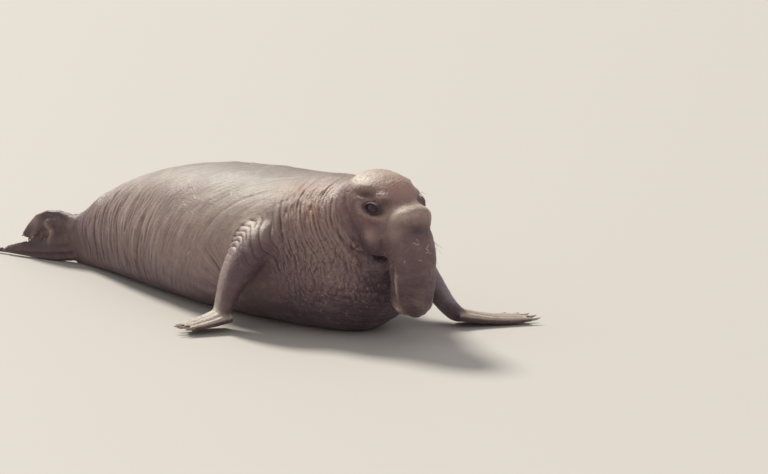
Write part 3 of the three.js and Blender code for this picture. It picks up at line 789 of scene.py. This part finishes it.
def coat(p, normal, part, w):
    """Colour of the skin at each vertex, painted light and shade included, before the fine mottling of its
    material.
    """
    x, y, z = p.T
    wander = 0.05 * noise(p * 3.2, 51) + 0.02 * noise(p * 11, 52)
    colour = head_colour(body_colour(p, part, wander), p, part, wander)
    # Painted light on the hand's upward faces and painted shade on its downward faces
    upper = step(-0.1, 0.5, normal[:, 2])
    colour = blend(colour, part["hand"] * upper, HAND_LIT)
    colour = blend(colour, part["hand"] * (1 - upper), PALM_SHADE)
    # Painted highlight on the top of the wrist
    colour = blend(colour, 0.8 * upper * near(p, (0.00, -0.69, 0.13), (0.085, 0.07, 0.045)), PAINTED_HIGHLIGHT)
    # Painted shade on the low tail stock
    colour = blend(colour, (1 - step(-2.2, -1.6, x + 2 * wander)) * (1 - step(0.32, 0.62, z)), STOCK_SHADE)
    # Hind flippers darkened with painted shade
    colour = blend(colour, 1 - step(-2.42, -2.12, x + wander), HIND_SHADE)
    colour = blend(colour, 0.6 * near(p, (-2.60, -0.42, 0.26), (0.07, 0.08, 0.07), False), LOBE)
    # Painted shade in the hollow of the rolled hind web
    colour = blend(colour, 0.9 * near(p, (-2.52, -0.40, 0.20), (0.042, 0.06, 0.055), False), SPECKLE_AND_SHADE)
    # Painted highlight on the edge of the rolled hind web
    colour = blend(colour, 0.9 * near(p, (-2.466, -0.378, 0.205), (0.024, 0.06, 0.06), False), WEB_RIM_LIT)
    for side_out in (-1, 1):
        centre, _, up, fore = eye_frame(side_out)
        d = p + ROOT - centre
        a, b = d @ fore, d @ up
        almond = np.hypot(a / DARK_LID_HALF[0], b / DARK_LID_HALF[1])
        beside = (side_out * y > 0.08) & (np.hypot(a, b) < 0.16)
        ring = np.exp(-(((almond - 1.40) / 0.25) ** 2)) * (b < 0.02)
        colour = blend(colour, 0.6 * ring * beside, CHEEK)
    colour = blend(colour, round_eyes(p + ROOT), LID_DARK)
    # Painted shade in the nostrils
    for side_out in (-1, 1):
        hole = np.linalg.norm((p - np.array([1.062, side_out * 0.05, 0.155])) / [1.25, 0.8, 1.5], axis=1)
        colour = blend(colour, 1 - step(0.022, 0.034, hole), SPECKLE_AND_SHADE)
    # Painted highlight along the upper edges of the hind webs
    for name, digits in DIGITS.items():
        if name.startswith("hand"):
            continue
        away = np.linalg.norm(p - np.array(digits[3][1]), axis=1)
        rim = w[name] * step(0.10, 0.20, away) * step(0.2, 0.29, z)
        colour = blend(colour, 0.7 * rim, WEB_RIM_LIT)
    return colour


def round_eyes(co):
    """1 on the lids and 0 away from the eyes."""
    mask = np.zeros(len(co))
    for side in (-1, 1):
        centre, out, up, fore = eye_frame(side)
        d = co - centre
        almond = np.hypot(d @ fore / DARK_LID_HALF[0], d @ up / DARK_LID_HALF[1])
        mask = np.maximum(mask, (1 - step(0.85, 1.15, almond)) * (d @ out > -0.02))
    return mask


def add_number(mesh, name, values):
    layer = mesh.attributes.new(name, "FLOAT", "POINT")
    layer.data.foreach_set("value", np.clip(values, 0, 1).astype(np.float32))


def add_colour(mesh, name, values):
    layer = mesh.attributes.new(name, "FLOAT_COLOR", "POINT")
    full = np.concatenate([np.clip(values, 0, 1), np.ones((len(values), 1))], 1)
    layer.data.foreach_set("color", full.astype(np.float32).ravel())


def make_skin():
    mesh, net, w = shaped_skin()
    part = soft_parts(net, w)
    co = positions(mesh)
    normal = unit(net.relax(normals(mesh), 6))
    p = co - ROOT
    scars = scar_mask(p, normal)
    high = head_relief(p, part) + trunk_relief(p, part) + limb_relief(p, w, part) + 0.0022 * scars
    high *= step(0.002, 0.03, co[:, 2])
    co = co + high[:, None] * normal
    co = carve_eyes(co)
    co[:, 2] = np.maximum(co[:, 2], CLEARANCE)
    place(mesh, co)
    # How far each vertex stands under or over the skin round it, in the creases and on the crests
    hollow = np.sum((net.relax(co, 9) - co) * normal, axis=1)
    front = step(0.1, 0.4, co[:, 0] - ROOT[0])
    add_colour(mesh, "coat", coat(co - ROOT, normal, part, w))
    # The crease values carry painted shade in the material
    add_number(mesh, "crease", hollow / 0.0035)
    add_number(mesh, "crest", -hollow / 0.0040 * (1 - round_eyes(co)))
    add_number(mesh, "shield", (part["neck"] + part["chest"]) * front * (1 - step(0.70, 0.92, co[:, 2])))
    add_number(mesh, "nose", part["nose"])
    add_number(mesh, "scar", scars)
    mesh.polygons.foreach_set("use_smooth", np.ones(len(mesh.polygons), bool))
    return mesh


# Materials


class Shade:
    """Small helper that adds nodes to one material."""

    def __init__(self, name):
        self.material = bpy.data.materials.new(name)
        self.material.use_nodes = True
        self.tree = self.material.node_tree
        self.shader = self.tree.nodes["Principled BSDF"]
        self.position = self.tree.nodes.new("ShaderNodeTexCoord").outputs["Object"]

    def put(self, socket, value):
        if isinstance(value, bpy.types.NodeSocket):
            self.tree.links.new(value, socket)
        else:
            socket.default_value = value

    def math(self, kind, a, b=0.0):
        node = self.tree.nodes.new("ShaderNodeMath")
        node.operation = kind
        self.put(node.inputs[0], a)
        self.put(node.inputs[1], b)
        return node.outputs[0]

    def mix(self, share, a, b, kind="MIX"):
        node = self.tree.nodes.new("ShaderNodeMix")
        node.data_type = "RGBA"
        node.blend_type = kind
        self.put(node.inputs[0], share)
        self.put(node.inputs[6], a)
        self.put(node.inputs[7], b)
        return node.outputs[2]

    def ramp(self, value, low, high, to_low=0.0, to_high=1.0):
        node = self.tree.nodes.new("ShaderNodeMapRange")
        self.put(node.inputs[0], value)
        for k, v in enumerate((low, high, to_low, to_high), 1):
            node.inputs[k].default_value = v
        return node.outputs[0]

    def mask(self, name, output="Fac"):
        node = self.tree.nodes.new("ShaderNodeAttribute")
        node.attribute_name = name
        return node.outputs[output]

    def stretched(self, scale):
        node = self.tree.nodes.new("ShaderNodeMapping")
        self.tree.links.new(self.position, node.inputs[0])
        node.inputs["Scale"].default_value = scale
        return node.outputs[0]

    def noise(self, scale, detail=4.0, rough=0.55, stretch=(1, 1, 1)):
        node = self.tree.nodes.new("ShaderNodeTexNoise")
        self.tree.links.new(self.stretched(stretch), node.inputs["Vector"])
        node.inputs["Scale"].default_value = scale
        node.inputs["Detail"].default_value = detail
        node.inputs["Roughness"].default_value = rough
        return node.outputs[0]

    def cells(self, scale, feature="F1", stretch=(1, 1, 1)):
        node = self.tree.nodes.new("ShaderNodeTexVoronoi")
        node.feature = feature
        self.tree.links.new(self.stretched(stretch), node.inputs["Vector"])
        node.inputs["Scale"].default_value = scale
        return node.outputs["Distance"]

    def bump(self, height, distance, strength=1.0, base=None):
        node = self.tree.nodes.new("ShaderNodeBump")
        node.inputs["Distance"].default_value = distance
        node.inputs["Strength"].default_value = strength
        self.put(node.inputs["Height"], height)
        if base is not None:
            self.tree.links.new(base, node.inputs["Normal"])
        return node.outputs[0]


def hide_material():
    """Short damp coat: mottled, with painted shade in the creases, paler on the crests, specked on the
    shield.
    """
    s = Shade("hide")
    broad = s.noise(3.0, 5, 0.6)
    blotch = s.noise(11, 6, 0.65, (1, 1, 1.3))
    fine = s.noise(70, 5, 0.7)
    colour = s.mix(s.ramp(broad, 0.35, 0.68, 0.0, 0.30), s.mask("coat", "Color"), rgb(112, 92, 88))
    colour = s.mix(s.ramp(blotch, 0.50, 0.78, 0, 0.45), colour, rgb(92, 72, 72))
    colour = s.mix(s.ramp(blotch, 0.50, 0.22, 0, 0.28), colour, CREST)
    colour = s.mix(s.ramp(fine, 0.52, 0.75, 0, 0.30), colour, rgb(84, 64, 66))
    colour = s.mix(s.math("MULTIPLY", s.mask("crest"), s.ramp(blotch, 0.35, 0.6, 0.15, 0.55)), colour, CREST)
    # Painted shade in the creases
    colour = s.mix(s.math("MULTIPLY", s.mask("crease"), 0.85), colour, SPECKLE_AND_SHADE)
    pink = s.ramp(s.noise(46, 4, 0.75), 0.56, 0.68, 0, 0.75)
    pink = s.math("MULTIPLY", pink, s.ramp(s.noise(8, 3, 0.6), 0.42, 0.62))
    colour = s.mix(s.math("MULTIPLY", pink, s.mask("shield")), colour, SPECK)
    dots = s.ramp(s.cells(95), 0.22, 0.10, 0, 0.6)
    colour = s.mix(s.math("MULTIPLY", dots, s.math("MULTIPLY", s.mask("nose"), 0.6)), colour, SPECKLE_AND_SHADE)
    colour = s.mix(s.math("MULTIPLY", s.mask("scar"), 0.6), colour, SCAR)
    s.put(s.shader.inputs["Base Color"], colour)
    wet_and_low_shade = s.ramp(s.noise(3.4, 3, 0.5), 0.3, 0.7, 0.40, 0.56)
    s.put(s.shader.inputs["Roughness"], s.math("ADD", wet_and_low_shade, s.ramp(fine, 0.3, 0.7, -0.04, 0.06)))
    wrinkle = s.cells(75, "DISTANCE_TO_EDGE", (1, 1, 0.6))
    first = s.bump(s.ramp(wrinkle, 0.0, 0.22), 0.0014, 0.6)
    second = s.bump(s.noise(58, 6, 0.7), 0.0045, 0.7, first)
    fur = s.bump(s.noise(330, 3, 0.6, (0.3, 1, 1)), 0.0012, 0.6, second)
    s.tree.links.new(fur, s.shader.inputs["Normal"])
    s.shader.inputs["Specular IOR Level"].default_value = 0.5
    s.shader.inputs["Sheen Weight"].default_value = 0.08
    s.shader.inputs["Sheen Roughness"].default_value = 0.4
    return s.material


def new_object(name, mesh, material, slot, *nodes):
    obj = bpy.data.objects.new(name, mesh)
    bpy.context.scene.collection.objects.link(obj)
    mesh.materials.clear()
    mesh.materials.append(material)
    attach(obj, "root")
    if nodes:
        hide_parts(*nodes)
    return obj


# Eyes


def eye_material():
    s = Shade("eye_dark")
    swirl = s.noise(60, 3)
    s.put(s.shader.inputs["Base Color"], s.mix(swirl, rgb(42, 30, 36), rgb(86, 66, 74)))
    s.put(s.shader.inputs["Roughness"], s.ramp(swirl, 0.3, 0.7, 0.12, 0.18))
    s.shader.inputs["Specular IOR Level"].default_value = 0.22
    return s.material


def make_eyes():
    material = eye_material()
    for side, name in ((-1, "right"), (1, "left")):
        centre, out, _, fore = eye_frame(side)
        bm = bmesh.new()
        bmesh.ops.create_uvsphere(bm, u_segments=64, v_segments=40, radius=EYE_RADIUS)
        for v in bm.verts:
            bulge = max(0.0, v.co.normalized().dot(Vector(out)) - 0.86) / 0.14
            v.co *= 1 + 0.05 * bulge * bulge
            v.co += Vector(centre) + Vector(fore) * ((EYE_STRETCH - 1) * v.co.dot(Vector(fore)))
        mesh = bpy.data.meshes.new(f"eyeball_{name}")
        bm.to_mesh(mesh)
        bm.free()
        mesh.polygons.foreach_set("use_smooth", np.ones(len(mesh.polygons), bool))
        new_object(f"eyeball_{name}", mesh, material, "eye", f"eye_{name}")


def tube_mesh(name, paths, sides=10, flat=1.0):
    """Closed tapered tubes, each a list of (point, radius), as one mesh; flat squashes them upright."""
    verts = []
    faces = []
    for path in paths:
        points = np.array([p for p, _ in path])
        radii = [r for _, r in path]
        along = unit(np.gradient(points, axis=0))
        first = unit(np.cross(along[0], [0.3, 0.2, 1.0]))
        base = len(verts)
        for i, p in enumerate(points):
            across = unit(first - along[i] * np.dot(first, along[i]))
            over = np.cross(along[i], across)
            first = across
            for k in range(sides):
                a = 2 * math.pi * k / sides
                verts.append(p + radii[i] * (math.cos(a) * across + flat * math.sin(a) * over))
        for i in range(len(points) - 1):
            for k in range(sides):
                m = (k + 1) % sides
                a = base + i * sides
                faces.append((a + k, a + m, a + sides + m, a + sides + k))
        faces.append(tuple(base + k for k in reversed(range(sides))))
        end = base + (len(points) - 1) * sides
        faces.append(tuple(end + k for k in range(sides)))
    mesh = bpy.data.meshes.new(name)
    mesh.from_pydata([tuple(v) for v in verts], [], faces)
    mesh.polygons.foreach_set("use_smooth", np.ones(len(mesh.polygons), bool))
    return mesh


def make_lids():
    s = Shade("lid_rim")
    grain = s.noise(180, 4)
    s.put(s.shader.inputs["Base Color"], s.mix(grain, rgb(42, 28, 30), rgb(78, 58, 56)))
    s.put(s.shader.inputs["Roughness"], s.ramp(grain, 0.3, 0.7, 0.24, 0.42))
    s.tree.links.new(s.bump(grain, 0.001), s.shader.inputs["Normal"])
    for side, name in ((-1, "right"), (1, "left")):
        centre, out, up, fore = eye_frame(side)
        paths = []
        for half in (1, -1):
            path = []
            for t in np.linspace(-1, 1, 33):
                a = LID_HALF[0] * t
                b = half * lid_shape(a)
                reach = min(math.hypot(a / EYE_STRETCH, b), EYE_RADIUS * 0.97)
                c = math.sqrt(EYE_RADIUS**2 - reach**2)
                radius = 0.0058 * (1 - 0.5 * t * t)
                path.append((centre + a * fore + b * up + (c + 0.002) * out, radius))
            paths.append(path)
        new_object(f"lids_{name}", tube_mesh(f"lids_{name}", paths), s.material, "hide_head")


# Claws and whiskers


def make_claws():
    s = Shade("horn")
    grain = s.noise(90, 5, 0.6, (1, 1, 0.25))
    # Horn made paler than the claws' own dark colour, as painted light
    s.put(s.shader.inputs["Base Color"], s.mix(grain, rgb(112, 96, 84), rgb(184, 168, 148)))
    s.put(s.shader.inputs["Roughness"], s.ramp(grain, 0.3, 0.7, 0.28, 0.5))
    s.tree.links.new(s.bump(grain, 0.0012), s.shader.inputs["Normal"])
    for name, digits in DIGITS.items():
        paths = []
        for digit in digits:
            tip, ahead, length, radius, rise = claw_line(name, digit)
            path = []
            for f in np.linspace(-0.6, 1.0, 13):
                at = tip + ahead * length * f + np.array([0, 0, rise * f * abs(f)])
                share = np.clip((f - 0.1) / 0.9, 0, 1)
                path.append((at, radius * (1 - share**1.7) + 0.0006))
            paths.append(path)
        mesh = tube_mesh(f"claws_{name}", paths, 12, 0.8)
        new_object(f"claws_{name}", mesh, s.material, "hide_flipper")


# Whisker beds: middle, reach, how many, and length, from ROOT in metres, right side
WHISKER_BEDS = (
    ((0.955, -0.150, 0.900), 0.035, 8, 0.060),
    ((1.010, -0.170, 0.560), 0.100, 30, 0.095),
)


def unwrapped(point):
    """Place of a point on the skin unrolled along the body: along it, and round it."""
    x, y, z = point - ROOT
    return (x + 3.2) / 4.8, (math.atan2(y, z - 0.4) + math.pi) / (2 * math.pi)


def make_whiskers(skin):
    """Stiff whiskers over the eyes and on the sides of the muzzle."""
    s = Shade("whisker")
    s.put(s.shader.inputs["Base Color"], s.mix(s.noise(40), rgb(60, 46, 42), rgb(112, 94, 82)))
    s.shader.inputs["Roughness"].default_value = 0.4
    tree = BVHTree.FromPolygons([v.co for v in skin.vertices], [p.vertices for p in skin.polygons])
    rng = np.random.default_rng(SEED + 2)
    sides, rings, patch = 5, 9, 0.003
    for side, name in ((-1, "right"), (1, "left")):
        paths = []
        for centre, reach, count, length in WHISKER_BEDS:
            for _ in range(count):
                at = np.array(centre) * [1, -side, 1] + rng.uniform(-reach, reach, 3) * [0.7, 0.4, 1]
                root, out, _, _ = tree.find_nearest(Vector(at + ROOT))
                root, out = np.array(root), np.array(out)
                lie = unit(out + [0.25, 0, -0.55] + 0.25 * rng.normal(size=3))
                long = length * rng.uniform(0.6, 1.2)
                path = []
                for f in np.linspace(0, 1, rings):
                    bend = np.array([-0.10, 0, -0.35]) * long * f * f
                    path.append((root - 0.004 * out + lie * long * f + bend, 0.0010 * (1 - 0.85 * f)))
                paths.append(path)
        mesh = tube_mesh(f"whiskers_{name}", paths, sides)
        layer = mesh.uv_layers.new(name="OFBake")
        size = sides * rings
        for loop in mesh.loops:
            tuft, place_in = divmod(loop.vertex_index, size)
            ring, turn = divmod(place_in, sides)
            u, v = unwrapped(paths[tuft][0][0])
            layer.data[loop.index].uv = (u + patch * turn / sides, v + patch * ring / rings)
        new_object(f"whiskers_{name}", mesh, s.material, "hide_head")


# Floor, light and camera


def make_stage():
    bpy.ops.mesh.primitive_plane_add(size=120, location=(0, 0, 0))
    floor = bpy.context.object
    floor.name = "floor"
    material = bpy.data.materials.new("floor")
    material.use_nodes = True
    shader = material.node_tree.nodes["Principled BSDF"]
    shader.inputs["Base Color"].default_value = rgb(192, 187, 178)
    shader.inputs["Roughness"].default_value = 0.7
    floor.data.materials.append(material)


def towards(azimuth, elevation):
    a, e = math.radians(azimuth), math.radians(elevation)
    return Vector((math.sin(a) * math.cos(e), -math.cos(a) * math.cos(e), math.sin(e)))


def soft_sun(name, azimuth, elevation, spread, power, colour):
    data = bpy.data.lights.new(name, "SUN")
    data.angle = math.radians(spread)
    data.energy = power
    data.color = colour
    lamp = bpy.data.objects.new(name, data)
    lamp.rotation_euler = towards(azimuth, elevation).to_track_quat("Z", "Y").to_euler()
    bpy.context.scene.collection.objects.link(lamp)


def make_lights():
    """A soft key from behind and to the left of the camera's view, and an even pale surround."""
    soft_sun("key", 264, 44, 14, 3.6, (1.0, 0.97, 0.90))
    world = bpy.data.worlds.new("studio")
    world.use_nodes = True
    background = world.node_tree.nodes["Background"]
    background.inputs[0].default_value = (0.97, 0.94, 0.97, 1)
    background.inputs[1].default_value = 0.55
    bpy.context.scene.world = world
    bpy.context.scene.view_settings.view_transform = "Standard"


# Angles in degrees, distance in metres, focal length and picture in pixels
VIEW = {"azimuth": 52.0, "elevation": 11.0, "distance": 20.0, "focal": 3300.0}
WIDTH, HEIGHT = 768, 474
SENSOR = 36
# A place at the right eye, from ROOT in metres, and the pixel that it is seen at
EYE_ANCHOR = (0.89, -0.18, 0.835)
EYE_PIXEL = (372, 208)


def make_camera():
    back = towards(VIEW["azimuth"], VIEW["elevation"])
    a = math.radians(VIEW["azimuth"])
    right = Vector((math.cos(a), math.sin(a), 0))
    up = back.cross(right)
    anchor = Vector(ROOT) + Vector(EYE_ANCHOR)
    scale = VIEW["distance"] / VIEW["focal"]
    across = (EYE_PIXEL[0] - WIDTH / 2) * scale
    above = (HEIGHT / 2 - EYE_PIXEL[1]) * scale
    data = bpy.data.cameras.new("camera")
    data.sensor_width = SENSOR
    data.lens = VIEW["focal"] * SENSOR / WIDTH
    data.clip_end = 200
    camera = bpy.data.objects.new("camera", data)
    camera.location = anchor - across * right - above * up + VIEW["distance"] * back
    camera.rotation_euler = Matrix((right, up, back)).transposed().to_euler()
    bpy.context.scene.collection.objects.link(camera)
    bpy.context.scene.camera = camera


make_camera()
make_stage()
make_lights()
skin_mesh = make_skin()
new_object("skin", skin_mesh, hide_material(), "hide_back", *FLESH)
make_eyes()
make_lids()
make_claws()
make_whiskers(skin_mesh)
